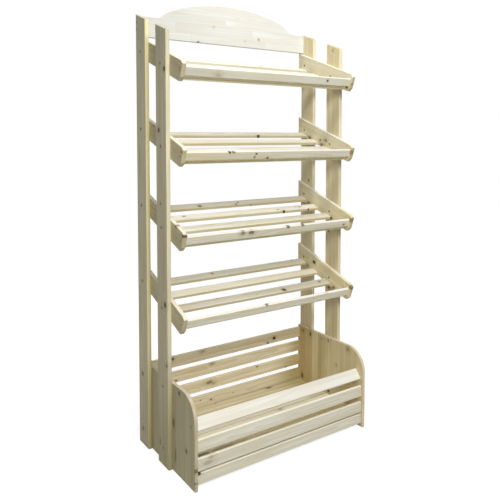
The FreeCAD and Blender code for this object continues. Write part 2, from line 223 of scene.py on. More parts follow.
def make_grain():
    """Growth rings round the heart of the log, with streaks and fibres along the board."""
    tree, given, result = new_group(
        "pine grain",
        [PLACE, ("Heart Across", NUMBER, 0.01), ("Heart Below", NUMBER, -0.06),
         ("Ring Width", NUMBER, 0.0035), ("Sway", NUMBER, 0.006), ("Seed", NUMBER, 0.0),
         ("Knot Push", NUMBER, 0.0)],
        [("Rings", NUMBER), ("Streaks", NUMBER), ("Fibres", NUMBER), ("Clouds", NUMBER)])
    place = arrows(tree, "ADD", given["Vector"], arrows(tree, "SCALE", SEED_STEP, given["Seed"]))
    heart = tree.nodes.new("ShaderNodeCombineXYZ")
    feed(tree, heart.inputs[1], given["Heart Across"])
    feed(tree, heart.inputs[2], given["Heart Below"])
    swayed = arrows(tree, "MULTIPLY_ADD", stray(tree, place, (1.7, 2.5, 2.5), 1.0),
                    arrows(tree, "SCALE", (0, 4, 4), given["Sway"]), given["Vector"])
    away = arrows(tree, "MULTIPLY", arrows(tree, "SUBTRACT", swayed, heart.outputs[0]), (0, 1, 1))
    radius = sums(tree, "ADD", arrows(tree, "LENGTH", away), given["Knot Push"])
    radius = sums(tree, "MULTIPLY_ADD", waver(tree, place, (9, 45, 45)), RING_RIPPLE, radius)
    years = tree.nodes.new("ShaderNodeTexNoise")
    years.noise_dimensions = "1D"
    feed(tree, years.inputs["W"], sums(tree, "MULTIPLY_ADD", radius, YEAR_PACE, given["Seed"]))
    years.inputs["Scale"].default_value = 1.0
    count = sums(tree, "MULTIPLY_ADD", years.outputs["Fac"], YEAR_SPREAD,
                 sums(tree, "DIVIDE", radius, given["Ring Width"]))
    year = sums(tree, "FRACT", count)
    late = sums(tree, "MULTIPLY", ramp(tree, year, *LATE_WOOD), ramp(tree, year, *YEAR_END))
    feed(tree, result["Rings"], late)
    feed(tree, result["Streaks"], ramp(tree, speckle(tree, place, (1.5, 60, 60), 3.0), 0.3, 0.7))
    feed(tree, result["Fibres"], speckle(tree, place, (28, 1500, 1500)))
    feed(tree, result["Clouds"], ramp(tree, speckle(tree, place, (3.2, 14, 14)), 0.3, 0.72))
    return tree


def ring_push(tree, far, radius):
    """How far a knot pushes the rings out; far is the distance from it, in radii."""
    fade = sums(tree, "MULTIPLY", sums(tree, "MULTIPLY", far, far), PUSH_FADE)
    return sums(tree, "MULTIPLY", sums(tree, "EXPONENT", fade),
                sums(tree, "MULTIPLY", radius, PUSH_SIZE))


def make_knot():
    """One knot through the board; it is placed in a chain, each adding to the one before."""
    tree, given, result = new_group(
        "knot",
        [PLACE, ("Place", ARROW, (0, 0, 0)), ("Radius", NUMBER, 0.006),
         ("Length", NUMBER, 1.3), ("Strength", NUMBER, 1.0), ("Push", NUMBER, 0.0),
         ("Core", NUMBER, 0.0), ("Halo", NUMBER, 0.0)],
        [("Push", NUMBER), ("Core", NUMBER), ("Halo", NUMBER)])
    off = arrows(tree, "MULTIPLY", arrows(tree, "SUBTRACT", given["Vector"], given["Place"]),
                 FACE_ONLY)
    ragged = arrows(tree, "SCALE", stray(tree, given["Vector"], (110, 110, 110), 2.0),
                    sums(tree, "MULTIPLY", given["Radius"], KNOT_RAGGED))
    off = arrows(tree, "ADD", off, ragged)
    squeeze = tree.nodes.new("ShaderNodeCombineXYZ")
    feed(tree, squeeze.inputs[0], sums(tree, "DIVIDE", 1.0, given["Length"]))
    squeeze.inputs[1].default_value = 1.0
    off = arrows(tree, "MULTIPLY", off, squeeze.outputs[0])
    far = sums(tree, "DIVIDE", arrows(tree, "LENGTH", off), given["Radius"])
    core = sums(tree, "MULTIPLY", ramp(tree, far, *KNOT_RIM), given["Strength"])
    push = ring_push(tree, far, given["Radius"])
    feed(tree, result["Push"], sums(tree, "ADD", given["Push"], push))
    feed(tree, result["Core"], sums(tree, "MAXIMUM", given["Core"], core))
    feed(tree, result["Halo"], sums(tree, "MAXIMUM", given["Halo"], ramp(tree, far, 3.0, 0.9)))
    return tree


def make_pin_knots():
    """Small knots scattered along a board, some places for one left clear."""
    tree, given, result = new_group(
        "pin knots",
        [PLACE, ("Seed", NUMBER, 0.0), ("Clear", NUMBER, 0.6)],
        [("Push", NUMBER), ("Core", NUMBER), ("Halo", NUMBER)])
    flat = arrows(tree, "MULTIPLY", given["Vector"], FACE_ONLY)
    cells = arrows(tree, "MULTIPLY", flat, (*PIN_CELLS, 0))
    shifted = arrows(tree, "ADD", cells, arrows(tree, "SCALE", PIN_STEP, given["Seed"]))
    knots = tree.nodes.new("ShaderNodeTexVoronoi")
    knots.voronoi_dimensions = "2D"
    feed(tree, knots.inputs["Vector"], shifted)
    knots.inputs["Scale"].default_value = 1.0
    knots.inputs["Randomness"].default_value = 0.9
    off = arrows(tree, "MULTIPLY", arrows(tree, "SUBTRACT", knots.outputs["Position"], shifted),
                 (1 / PIN_CELLS[0], 1 / PIN_CELLS[1], 0))
    far = arrows(tree, "LENGTH", arrows(tree, "MULTIPLY", off, PIN_SQUEEZE))
    luck = parts_of(tree, knots.outputs["Color"])
    here = sums(tree, "GREATER_THAN", luck[0], given["Clear"])
    radius = sums(tree, "MULTIPLY_ADD", luck[1], PIN_SPREAD, PIN_RADIUS)
    far = sums(tree, "DIVIDE", far, radius)
    for label, mark in (("Core", ramp(tree, far, *KNOT_RIM)), ("Halo", ramp(tree, far, 3.4, 0.9)),
                        ("Push", ring_push(tree, far, radius))):
        feed(tree, result[label], sums(tree, "MULTIPLY", here, mark))
    return tree


def make_strips():
    """Panel glued up from strips: each strip has its own shade and its own piece of log."""
    tree, given, result = new_group(
        "glued strips",
        [PLACE, ("Width", NUMBER, 0.045), ("Stave", NUMBER, 0.5), ("Seed", NUMBER, 0.0)],
        [("Shade", NUMBER), ("Vector", ARROW), ("Seam", NUMBER)])
    along, across, _ = parts_of(tree, given["Vector"])
    rows = sums(tree, "DIVIDE", sums(tree, "ADD", across, COUNT_FROM), given["Width"])
    row = sums(tree, "FLOOR", rows)
    first = tree.nodes.new("ShaderNodeTexWhiteNoise")
    first.noise_dimensions = "1D"
    feed(tree, first.inputs["W"], sums(tree, "ADD", row, given["Seed"]))
    staves = sums(tree, "DIVIDE", sums(tree, "ADD", along, COUNT_FROM), given["Stave"])
    staves = sums(tree, "ADD", staves, first.outputs["Value"])
    place = tree.nodes.new("ShaderNodeCombineXYZ")
    for socket, value in zip(place.inputs, (row, sums(tree, "FLOOR", staves), given["Seed"])):
        feed(tree, socket, value)
    luck = tree.nodes.new("ShaderNodeTexWhiteNoise")
    luck.noise_dimensions = "3D"
    feed(tree, luck.inputs["Vector"], place.outputs[0])
    feed(tree, result["Shade"], sums(tree, "SUBTRACT", luck.outputs["Value"], 0.5))
    shift = arrows(tree, "SUBTRACT", luck.outputs["Color"], (0.5, 0.5, 0.5))
    shift = arrows(tree, "MULTIPLY", shift, STAVE_JUMP)
    feed(tree, result["Vector"], arrows(tree, "ADD", given["Vector"], shift))
    gaps = []
    for count, length in ((rows, given["Width"]), (staves, given["Stave"])):
        step = sums(tree, "FRACT", count)
        edge = sums(tree, "MINIMUM", step, sums(tree, "SUBTRACT", 1.0, step))
        gaps.append(sums(tree, "MULTIPLY", edge, length))
    feed(tree, result["Seam"], ramp(tree, sums(tree, "MINIMUM", *gaps), *SEAM))
    return tree


def make_heart_band():
    """Band of darker heartwood that runs the length of a board."""
    tree, given, result = new_group(
        "heart band",
        [PLACE, ("Middle", NUMBER, 0.0), ("Half Width", NUMBER, 0.02)],
        [("Heart", NUMBER)])
    across = sums(tree, "MULTIPLY_ADD", waver(tree, given["Vector"], (2.5, 8, 8)), HEART_STRAY,
                  parts_of(tree, given["Vector"])[1])
    off = sums(tree, "ABSOLUTE", sums(tree, "SUBTRACT", across, given["Middle"]))
    far = sums(tree, "DIVIDE", off, given["Half Width"])
    feed(tree, result["Heart"], ramp(tree, far, 1.1, 0.8))
    return tree


def make_faces():
    """Finds a board's sawn ends, bevels and two narrow sides by where a face points."""
    tree, given, result = new_group(
        "ends and edges",
        [("Normal", ARROW, (0, 0, 1))],
        [("End", NUMBER), ("Edge", NUMBER), ("Under", NUMBER), ("Over", NUMBER)])
    along, across, through = parts_of(tree, given["Normal"])
    feed(tree, result["End"], ramp(tree, sums(tree, "ABSOLUTE", along), 0.55, 0.92))
    slant = sums(tree, "SUBTRACT", sums(tree, "ABSOLUTE", through), BEVEL_SLANT)
    feed(tree, result["Edge"], ramp(tree, sums(tree, "ABSOLUTE", slant), 0.3, 0.12))
    feed(tree, result["Under"], ramp(tree, across, -0.5, -0.85))
    feed(tree, result["Over"], ramp(tree, across, 0.5, 0.85))
    return tree


def make_painted_light():
    """Painted light and shade that comes in toward one end of a board or both, and a painted shadow
    along its under side's rim.
    """
    tree, given, result = new_group(
        "tone along the board",
        [PLACE, ("Half Length", NUMBER, 0.5), ("Near Tint", COLOUR, WHITE),
         ("Near Start", NUMBER, -0.5), ("Far Tint", COLOUR, WHITE), ("Far Start", NUMBER, 0.5),
         ("Rim Tint", COLOUR, WHITE)],
        [("Tone", COLOUR)])
    along, across, _ = parts_of(tree, given["Vector"])
    along = sums(tree, "DIVIDE", along, given["Half Length"])
    rim = tint(tree, ramp(tree, across, RIM_START, RIM_FULL), WHITE, given["Rim Tint"])
    shading = tint(tree, ramp(tree, along, given["Far Start"], BOARD_END), WHITE, given["Far Tint"])
    shading = tint(tree, ramp(tree, along, given["Near Start"], -BOARD_END), shading, given["Near Tint"])
    feed(tree, result["Tone"], stain(tree, shading, rim))
    return tree


# How planed pine takes up the marks found on it
RING_DEPTH, STREAK_DEPTH, CLOUD_DEPTH = 0.5, 0.5, 0.3
BODY_LIGHT, FIBRE_LIGHT, EDGE_LIGHT, SEAM_SHADE = 0.97, 0.06, 0.05, 0.09
HEARTWOOD = (0.88, 0.79, 0.66)          # against the wood beside it
KNOT_MIDDLE = (0.16, 0.13, 0.12)        # against the knot's rim
HALO_SHARE, HALO_BROWN = 0.42, 0.45
PLANED_ROUGHNESS, FIBRE_ROUGHNESS, KNOT_GLOSS, END_ROUGHNESS = 0.52, 0.14, -0.16, 0.12
FIBRE_HEIGHT, RING_HEIGHT, SEAM_DEPTH = 0.55, 0.45, 0.8
PLAIN_END = (0.74, 0.74, 0.74)          # tint of sawn ends


def make_surface():
    """Colour, roughness and relief of planed pine from the marks found on it, with light and shade
    painted over the colour.
    """
    marks = ("Rings", "Streaks", "Fibres", "Clouds", "Core", "Halo", "Seam", "Heart", "End",
             "Edge", "Under", "Over")
    tree, given, result = new_group(
        "planed pine",
        [("Pale", COLOUR, (0.78, 0.72, 0.55)), ("Deep", COLOUR, (0.66, 0.54, 0.32)),
         ("Knot", COLOUR, (0.2, 0.11, 0.05)), ("Shade", NUMBER, 0.0), ("Figure", NUMBER, 1.0)]
        + [(mark, NUMBER, 0.0) for mark in marks]
        + [("Under Tint", COLOUR, WHITE), ("Over Tint", COLOUR, WHITE),
           ("End Tint", COLOUR, PLAIN_END), ("Tone", COLOUR, WHITE)],
        [("Colour", COLOUR), ("Roughness", NUMBER), ("Height", NUMBER)])
    depth = sums(tree, "MULTIPLY_ADD", given["Rings"], RING_DEPTH,
                 sums(tree, "MULTIPLY_ADD", given["Streaks"], STREAK_DEPTH,
                      sums(tree, "MULTIPLY", given["Clouds"], CLOUD_DEPTH)))
    depth = sums(tree, "MULTIPLY", depth, given["Figure"], clamp=True)
    colour = tint(tree, depth, given["Pale"], given["Deep"])
    colour = tint(tree, given["Heart"], colour, stain(tree, colour, HEARTWOOD))
    light = sums(tree, "ADD", sums(tree, "ADD", given["Shade"], BODY_LIGHT),
                 sums(tree, "MULTIPLY", given["Fibres"], FIBRE_LIGHT))
    light = sums(tree, "MULTIPLY", light,
                 sums(tree, "MULTIPLY_ADD", given["Edge"], EDGE_LIGHT, 1.0))
    seam_light = sums(tree, "SUBTRACT", 1.0, sums(tree, "MULTIPLY", given["Seam"], SEAM_SHADE))
    colour = stain(tree, colour, sums(tree, "MULTIPLY", light, seam_light))
    # The under and over tints are painted light and shade on a board's two narrow sides; the end
    # tint darkens end grain, and where it is pale paints a highlight.
    for face in ("Under", "Over", "End"):
        colour = tint(tree, given[face], colour, stain(tree, colour, given[f"{face} Tint"]))
    # Painted light and shade along the board and at its rim, laid over the colour.
    colour = stain(tree, colour, given["Tone"])
    halo = tint(tree, HALO_BROWN, given["Deep"], given["Knot"])
    colour = tint(tree, sums(tree, "MULTIPLY", given["Halo"], HALO_SHARE), colour, halo)
    knot = tint(tree, ramp(tree, given["Core"], 0.55, 1.0), given["Knot"],
                stain(tree, given["Knot"], KNOT_MIDDLE))
    feed(tree, result["Colour"], tint(tree, ramp(tree, given["Core"], 0.0, 0.6), colour, knot))
    rough = sums(tree, "MULTIPLY_ADD", given["Fibres"], FIBRE_ROUGHNESS, PLANED_ROUGHNESS)
    rough = sums(tree, "MULTIPLY_ADD", given["Core"], KNOT_GLOSS, rough)
    rough = sums(tree, "MULTIPLY_ADD", given["End"], END_ROUGHNESS, rough)
    feed(tree, result["Roughness"], rough)
    relief = sums(tree, "MULTIPLY_ADD", given["Fibres"], FIBRE_HEIGHT,
                  sums(tree, "MULTIPLY", given["Rings"], RING_HEIGHT))
    relief = sums(tree, "SUBTRACT", relief, sums(tree, "MULTIPLY", given["Seam"], SEAM_DEPTH))
    feed(tree, result["Height"], relief)
    return tree


GRAIN, KNOT, PIN_KNOTS = make_grain(), make_knot(), make_pin_knots()
STRIPS, HEART_BAND, FACES = make_strips(), make_heart_band(), make_faces()
PAINTED_LIGHT, SURFACE = make_painted_light(), make_surface()


# ---- how each kind of board lies in the rack -----------------------------------------------

def lie(along, across):
    """Turn that takes a board lying along X, with its width along Y, to its place."""
    along, across = Vector(along).normalized(), Vector(across).normalized()
    return Matrix((along, across, along.cross(across))).transposed()


DOWN_SLOPE = Vector((0, -math.cos(SLOPE), -math.sin(SLOPE)))
OFF_SLOPE = Vector((0, -math.sin(SLOPE), math.cos(SLOPE)))
LIES = {
    "upright": lie((0, 0, 1), (0, 1, 0)),
    "across_standing": lie((1, 0, 0), (0, 0, 1)),
    "across_flat": lie((1, 0, 0), (0, 1, 0)),
    "front_to_back": lie((0, 1, 0), (0, 0, 1)),
    "shelf_side": lie(-DOWN_SLOPE, OFF_SLOPE),
    "shelf_slat": lie((1, 0, 0), -DOWN_SLOPE),
    "shelf_rail": lie((1, 0, 0), OFF_SLOPE),
    "lip": lie((1, 0, 0), UP_THE_LIP),
}


# ---- the wood of each board ----------------------------------------------------------------

# Pale and deep wood of each kind of board, in linear colour
# The left and right woods of the shelf sides and of the bin ends differ partly as the boards do and
# partly as painted light and shade, for how the lamps fall on each side.
LEFT_POST = ((0.78, 0.735, 0.525), (0.615, 0.535, 0.33))
RIGHT_POST = ((0.71, 0.635, 0.42), (0.565, 0.45, 0.24))
HEADER = ((0.632, 0.643, 0.615), (0.585, 0.56, 0.485))
LEFT_SIDE = ((0.72, 0.665, 0.45), (0.57, 0.485, 0.275))
RIGHT_SIDE = ((0.76, 0.72, 0.54), (0.63, 0.54, 0.31))
SLAT = ((0.79, 0.79, 0.73), (0.66, 0.61, 0.46))
# TOP_SLAT is the slats' wood made darker for the top shelf: painted shade where the lamps are
# strongest.
TOP_SLAT = ((0.755, 0.745, 0.725), (0.645, 0.60, 0.47))
RAIL = ((0.72, 0.715, 0.62), (0.60, 0.55, 0.40))
LEFT_END = ((0.59, 0.54, 0.35), (0.46, 0.39, 0.21))
RIGHT_END = ((0.70, 0.63, 0.40), (0.56, 0.45, 0.235))
BACK_SLAT = ((0.81, 0.745, 0.565), (0.63, 0.52, 0.315))
FLOOR_BOARD = ((0.72, 0.67, 0.49), (0.56, 0.465, 0.265))
# Paler floor wood for boards 2 and 3: painted light where the floor lies in shade.
FLOOR_PAINTED_LIGHTER = ((0.86, 0.84, 0.72), (0.72, 0.67, 0.53))
FRONT_SLAT = ((0.755, 0.75, 0.665), (0.635, 0.59, 0.44))
LIP = ((0.735, 0.735, 0.68), (0.65, 0.62, 0.52))
CLEAT = ((0.70, 0.60, 0.37), (0.57, 0.43, 0.21))
KNOT_BROWN = (0.19, 0.135, 0.055)

# Boards made paler or darker than their kind, partly as boards differ and partly as painted light
# and shade
SHADES = {
    "rear_right_post": 0.09,
    "shelf_1_left_side": -0.10, "shelf_2_left_side": 0.06, "shelf_4_left_side": 0.06,
    "shelf_1_right_side": -0.07, "shelf_3_right_side": 0.05, "shelf_4_right_side": 0.10,
    "shelf_1_slat_1": -0.05, "shelf_2_slat_1": -0.12, "shelf_2_slat_3": -0.06,
    "shelf_3_slat_1": -0.07, "shelf_3_slat_3": -0.05,
    "shelf_4_slat_1": 0.11, "shelf_4_slat_3": -0.09,
    "shelf_1_front_rail": -0.06, "shelf_3_front_rail": 0.03, "shelf_4_front_rail": 0.10,
    "bin_back_slat_1": -0.03, "bin_back_slat_3": -0.03, "bin_back_slat_4": -0.13,
    "bin_floor_board_3": 0.15, "bin_floor_board_4": 0.12,
}

# Painted light and shade toward an end of a board, near (foot, left or front) or far, lighter
# or darker as the lamps fall on it: the end's tint, and the share of the half length where it
# starts
NO_PAINTED_LIGHT = (WHITE, 0.5)
PAINTED_LIGHT_AND_SHADE = {
    "front_left_post": {"near": ((0.60, 0.58, 0.47), 0.35), "far": ((0.82, 0.84, 0.88), 0.75)},
    "rear_left_post": {"near": ((0.70, 0.69, 0.66), 0.5), "far": ((0.86, 0.88, 0.92), 0.6)},
    "rear_right_post": {"far": ((0.86, 0.87, 0.85), 0.6)},
    "header_board": {"near": ((0.83, 0.84, 0.83), -0.2), "far": ((1.02, 1.03, 1.05), 0.4)},
    "shelf_1_front_rail": {"near": ((0.90, 0.93, 0.98), 0.2), "far": ((1.08, 1.13, 1.24), 0.2)},
    "shelf_2_front_rail": {"near": ((0.99, 0.95, 0.87), 0.2)},
    "shelf_3_slat_1": {"near": ((0.94, 0.89, 0.82), 0.2)},
    "shelf_4_slat_3": {"near": ((0.94, 0.89, 0.82), 0.2)},
    "shelf_3_right_side": {"near": ((0.99, 0.96, 0.85), 0.0)},
    "shelf_4_right_side": {"near": ((0.96, 0.93, 0.80), 0.0), "far": ((1.05, 1.04, 1.02), 0.3)},
    "bin_back_slat_2": {"far": ((0.68, 0.62, 0.48), 0.75)},
    "bin_back_slat_3": {"far": ((0.66, 0.60, 0.42), 0.5)},
    "bin_back_slat_4": {"far": ((0.64, 0.58, 0.36), 0.5)},
    "bin_floor_board_1": {"far": ((0.70, 0.67, 0.50), 0.5)},
    "bin_floor_board_2": {"far": ((0.75, 0.72, 0.58), 0.6)},
}

# The knots that mark single boards, and knot-like marks that are painted shadow: X, Y, Z, radius,
# strength, and for some the length in widths
KNOTS_AND_PAINTED_SHADOWS = {
    # Both marks on the rear left post are painted shade round the sunk bin screws.
    "rear_left_post": [
        (-0.475, 0.2035, 0.322, 0.0095, 0.95, 1.0), (-0.475, 0.2035, 0.073, 0.0095, 0.8, 1.2)],
    "front_left_post": [
        (-0.475, -0.037, 1.647, 0.0105, 1.0, 1.0), (-0.475, 0.018, 1.403, 0.009, 1.0, 1.2),
        (-0.475, -0.029, 0.688, 0.0105, 1.0, 1.2), (-0.475, -0.041, 0.438, 0.008, 0.5),
        (-0.475, 0.026, 0.09, 0.006, 0.75, 2.5)],
    "front_right_post": [
        (0.457, 0.021, 0.904, 0.006, 1.0), (0.457, 0.017, 0.614, 0.006, 1.0),
        (0.457, 0.0, 1.801, 0.005, 0.25)],
    "rear_right_post": [(0.457, 0.179, 1.147, 0.005, 0.7)],
    "header_board": [
        (0.168, 0.225, 1.857, 0.005, 0.4), (-0.09, 0.225, 1.892, 0.004, 0.22),
        (-0.173, 0.225, 1.815, 0.0045, 0.65), (0.087, 0.225, 1.842, 0.003, 0.25)],
    "shelf_1_front_rail": [
        (0.299, -0.141, 1.633, 0.0055, 1.0, 1.0), (-0.285, -0.139, 1.624, 0.009, 0.22, 1.6)],
    "shelf_2_front_rail": [
        (-0.100, -0.143, 1.304, 0.0045, 1.0, 1.2), (-0.106, -0.1375, 1.290, 0.004, 0.9, 1.2),
        (-0.038, -0.1355, 1.285, 0.0045, 0.95, 1.5), (-0.234, -0.146, 1.311, 0.0045, 1.0, 1.4),
        (-0.216, -0.146, 1.311, 0.004, 0.55, 2.0)],
    "shelf_3_front_rail": [
        (-0.169, -0.144, 0.972, 0.010, 0.42), (-0.125, -0.143, 0.971, 0.009, 0.5, 1.8),
        (0.071, -0.146, 0.977, 0.0058, 0.75), (0.154, -0.146, 0.979, 0.006, 0.7),
        (0.408, -0.138, 0.959, 0.004, 0.8)],
    "shelf_4_front_rail": [(-0.044, -0.144, 0.648, 0.006, 0.6)],
    "shelf_2_slat_1": [(0.135, 0.179, 1.382, 0.007, 1.0)],
    "shelf_3_slat_1": [
        (-0.188, 0.192, 1.055, 0.009, 1.0), (0.027, 0.2, 1.058, 0.005, 0.8),
        (0.007, 0.183, 1.052, 0.005, 0.9)],
    "shelf_3_slat_2": [
        (0.222, 0.084, 1.013, 0.006, 1.0), (0.317, 0.112, 1.028, 0.005, 0.22),
        (-0.312, 0.112, 1.026, 0.005, 0.8), (0.195, 0.1, 1.02, 0.004, 0.6),
        (0.339, 0.108, 1.025, 0.005, 0.5)],
    "shelf_4_slat_1": [(-0.115, 0.205, 0.728, 0.005, 1.0)],
    "shelf_4_slat_3": [
        (0.160, 0.000, 0.652, 0.011, 0.85), (0.390, 0.011, 0.655, 0.005, 0.7)],
    # On the right shelf sides the wide marks at Y -0.157 to -0.159 are painted shadow on the nose
    # in front of the rail, and those at Y 0.151, 0.057, 0.156 and 0.162 are painted shadow under
    # the slats' ends.
    "shelf_1_right_side": [
        (0.438, -0.158, 1.620, 0.013, 0.35, 1.0), (0.438, -0.12, 1.611, 0.006, 0.6)],
    "shelf_2_right_side": [
        (0.439, 0.069, 1.36, 0.0045, 1.0), (0.438, 0.027, 1.357, 0.006, 0.45, 2.0),
        (0.438, -0.157, 1.300, 0.013, 0.4, 1.0), (0.438, 0.151, 1.372, 0.006, 0.5, 2.0),
        (0.438, 0.057, 1.337, 0.005, 0.5, 2.0)],
    "shelf_3_right_side": [
        (0.439, -0.018, 0.973, 0.0068, 1.0), (0.438, -0.157, 0.978, 0.013, 0.4, 1.0),
        (0.438, 0.156, 1.034, 0.006, 0.55, 2.0)],
    "shelf_4_right_side": [
        (0.439, 0.11, 0.729, 0.0088, 1.0), (0.438, -0.159, 0.655, 0.013, 0.5, 1.0),
        (0.438, -0.040, 0.629, 0.006, 0.5), (0.438, 0.162, 0.702, 0.006, 0.45, 1.5)],
    "shelf_2_left_side": [
        (-0.457, 0.105, 1.423, 0.005, 0.5), (-0.457, -0.15, 1.316, 0.005, 0.35)],
    "shelf_3_left_side": [
        (-0.457, -0.155, 0.988, 0.006, 0.8), (-0.457, -0.094, 1.019, 0.006, 0.45)],
    "bin_left_end": [
        (-0.457, -0.115, 0.346, 0.0085, 1.0), (-0.457, -0.174, 0.135, 0.008, 1.0),
        (-0.457, -0.064, 0.205, 0.010, 0.5, 2.0), (-0.457, -0.078, 0.075, 0.006, 0.6, 5.0),
        (-0.457, -0.213, 0.249, 0.004, 0.6), (-0.457, -0.2405, 0.085, 0.003, 0.6, 4.0),
        (-0.457, -0.2405, 0.035, 0.0022, 0.7, 4.0)],
    "bin_right_end": [
        (0.442, 0.2, 0.345, 0.007, 0.55), (0.442, 0.140, 0.342, 0.0075, 0.8),
        (0.442, 0.055, 0.343, 0.005, 0.38), (0.442, 0.001, 0.347, 0.005, 0.65),
        (0.442, -0.141, 0.346, 0.010, 0.3), (0.442, 0.206, 0.099, 0.011, 0.65),
        (0.442, -0.059, 0.242, 0.005, 0.3), (0.442, -0.001, 0.092, 0.009, 0.75)],
    "bin_back_slat_1": [
        (0.271, 0.229, 0.328, 0.0075, 1.0), (-0.316, 0.229, 0.345, 0.007, 0.7),
        (-0.156, 0.229, 0.347, 0.006, 0.3, 2.0)],
    "bin_back_slat_2": [(-0.103, 0.229, 0.276, 0.006, 0.32, 2.0)],
    "bin_back_slat_3": [
        (-0.119, 0.229, 0.187, 0.009, 0.42, 2.2), (-0.095, 0.229, 0.178, 0.007, 0.28, 1.8)],
    "bin_back_slat_4": [(-0.110, 0.229, 0.1, 0.0055, 0.55, 1.1)],
    "bin_floor_board_1": [(0.235, 0.226, 0.074, 0.009, 0.6, 2.0)],
    "bin_floor_board_3": [(0.141, 0.004, 0.073, 0.007, 0.35)],
    # Both marks on the front floor board are painted shade where it shows through the gap between
    # the front slats.
    "bin_floor_board_4": [
        (-0.267, -0.135, 0.074, 0.012, 0.3, 5.0), (-0.37, -0.135, 0.074, 0.012, 0.5, 3.5)],
    "bin_front_slat_2": [
        (-0.392, -0.232, 0.096, 0.009, 0.24, 2.6), (-0.378, -0.232, 0.113, 0.006, 0.22, 2.0)],
    "bin_front_plinth": [(-0.434, -0.232, 0.062, 0.0055, 1.0, 2.0)],
}

dressed = []


def pine(name, turn, wood, number, strips=None, band=None, figure=1.0, clear=0.8,
         under=WHITE, over=WHITE, ends=PLAIN_END, rim=WHITE):
    """Pine for one board: its own heart, rings, shade and knots, and the light and shade painted on
    it.

    strips is (width, stave length, spread of shade), and band is (middle, half width) across
    the board. figure is how strongly the grain shows, and clear the share of places that have
    no pin knot. under and over tint the two narrow sides with painted light and shade, and rim
    paints a shadow on the faces next to the under side. ends tints the sawn ends: darker for
    end grain, and a painted highlight where the tint is pale.
    """
    luck = random.Random(number * 37 + 5)
    low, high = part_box(name)
    middle, half_size = (low + high) / 2, turn.inverted() @ (high - low) / 2
    material = bpy.data.materials.new(f"pine {name.replace('_', ' ')}")
    material.use_nodes = True
    tree = material.node_tree
    shader = tree.nodes["Principled BSDF"]
    where = tree.nodes.new("ShaderNodeTexCoord")
    board = tree.nodes.new("ShaderNodeMapping")
    facing = tree.nodes.new("ShaderNodeMapping")
    for node, source, start in ((board, "Object", middle), (facing, "Normal", (0, 0, 0))):
        node.vector_type = "TEXTURE"
        node.inputs["Location"].default_value = start
        node.inputs["Rotation"].default_value = turn.to_euler()
        tree.links.new(where.outputs[source], node.inputs["Vector"])
    place, seed = board.outputs[0], luck.uniform(0, 9)
    shade, seam, heart = SHADES.get(name, 0.0) + luck.uniform(-0.02, 0.02), 0.0, 0.0
    if strips:
        width, stave, spread = strips
        strip = use_group(tree, STRIPS, Vector=place, Width=width, Stave=stave, Seed=seed)
        place, seam = strip["Vector"], strip["Seam"]
        shade = sums(tree, "MULTIPLY_ADD", strip["Shade"], spread, shade)
    marks = use_group(tree, PIN_KNOTS, Vector=place, Seed=seed, Clear=clear)
    for x, y, z, radius, strength, *length in KNOTS_AND_PAINTED_SHADOWS.get(name, ()):
        marks = use_group(tree, KNOT, Vector=board.outputs[0],
                          Place=turn.inverted() @ (Vector((x, y, z)) - middle), Radius=radius,
                          Length=length[0] if length else luck.uniform(1.0, 1.5),
                          Strength=strength, Push=marks["Push"], Core=marks["Core"],
                          Halo=marks["Halo"])
    grain = use_group(tree, GRAIN, Vector=place, Heart_Across=luck.uniform(-0.03, 0.03),
                      Heart_Below=luck.choice((-1, 1)) * luck.uniform(0.03, 0.08),
                      Ring_Width=luck.uniform(0.0028, 0.0045), Sway=luck.uniform(0.004, 0.009),
                      Seed=seed, Knot_Push=marks["Push"])
    faces = use_group(tree, FACES, Normal=facing.outputs[0])
    near, near_start = PAINTED_LIGHT_AND_SHADE.get(name, {}).get("near", NO_PAINTED_LIGHT)
    far, far_start = PAINTED_LIGHT_AND_SHADE.get(name, {}).get("far", NO_PAINTED_LIGHT)
    shading = use_group(tree, PAINTED_LIGHT, Vector=board.outputs[0], Half_Length=abs(half_size[0]),
                     Near_Tint=near, Near_Start=-near_start, Far_Tint=far, Far_Start=far_start,
                     Rim_Tint=rim)
    if band:
        heart = use_group(tree, HEART_BAND, Vector=place, Middle=band[0],
                          Half_Width=band[1])["Heart"]
    surface = use_group(tree, SURFACE, Pale=wood[0], Deep=wood[1], Knot=KNOT_BROWN, Shade=shade,
                        Figure=figure, Rings=grain["Rings"], Streaks=grain["Streaks"],
                        Fibres=grain["Fibres"], Clouds=grain["Clouds"], Core=marks["Core"],
                        Halo=marks["Halo"], Seam=seam, Heart=heart, End=faces["End"],
                        Edge=faces["Edge"], Under=faces["Under"], Over=faces["Over"],
                        Under_Tint=under, Over_Tint=over, End_Tint=ends, Tone=shading["Tone"])
    feed(tree, shader.inputs["Base Color"], surface["Colour"])
    feed(tree, shader.inputs["Roughness"], surface["Roughness"])
    shader.inputs["Specular IOR Level"].default_value = 0.35
    relief_on(tree, shader, surface["Height"], strength=0.4, distance=0.0005)
    return material


def dress(name, *way, **more):
    """Gives a board of the rack its own pine in place of the plain finish."""
    wood = pine(name, *way, number=len(dressed), **more)
    boards[name].data.materials.clear()
    boards[name].data.materials.append(wood)
    dressed.append(name)


# Painted light and shade on the narrow sides that look to the front, lighter or darker as the
# lamps fall on them. Each shelf's last slat lies by the rail: its front face has painted light,
# and a painted shadow lies along its faces next to the rail
POST_FRONT_LIGHT_AND_SHADE = {
    ("left", "rear"): (1.05, 1.04, 0.85), ("left", "front"): (0.82, 0.82, 0.82),
    ("right", "rear"): (1.15, 1.2, 1.3), ("right", "front"): (1.05, 1.08, 1.15),
}
TOP_SLAT_FRONT_SHADE, SLAT_FRONT_SHADE = (1.0, 0.97, 0.85), (0.88, 0.80, 0.60)
PAINTED_LIGHT_BY_RAIL, PAINTED_SHADOW_BY_RAIL = (5.0, 6.0, 10.5), (0.25, 0.20, 0.08)

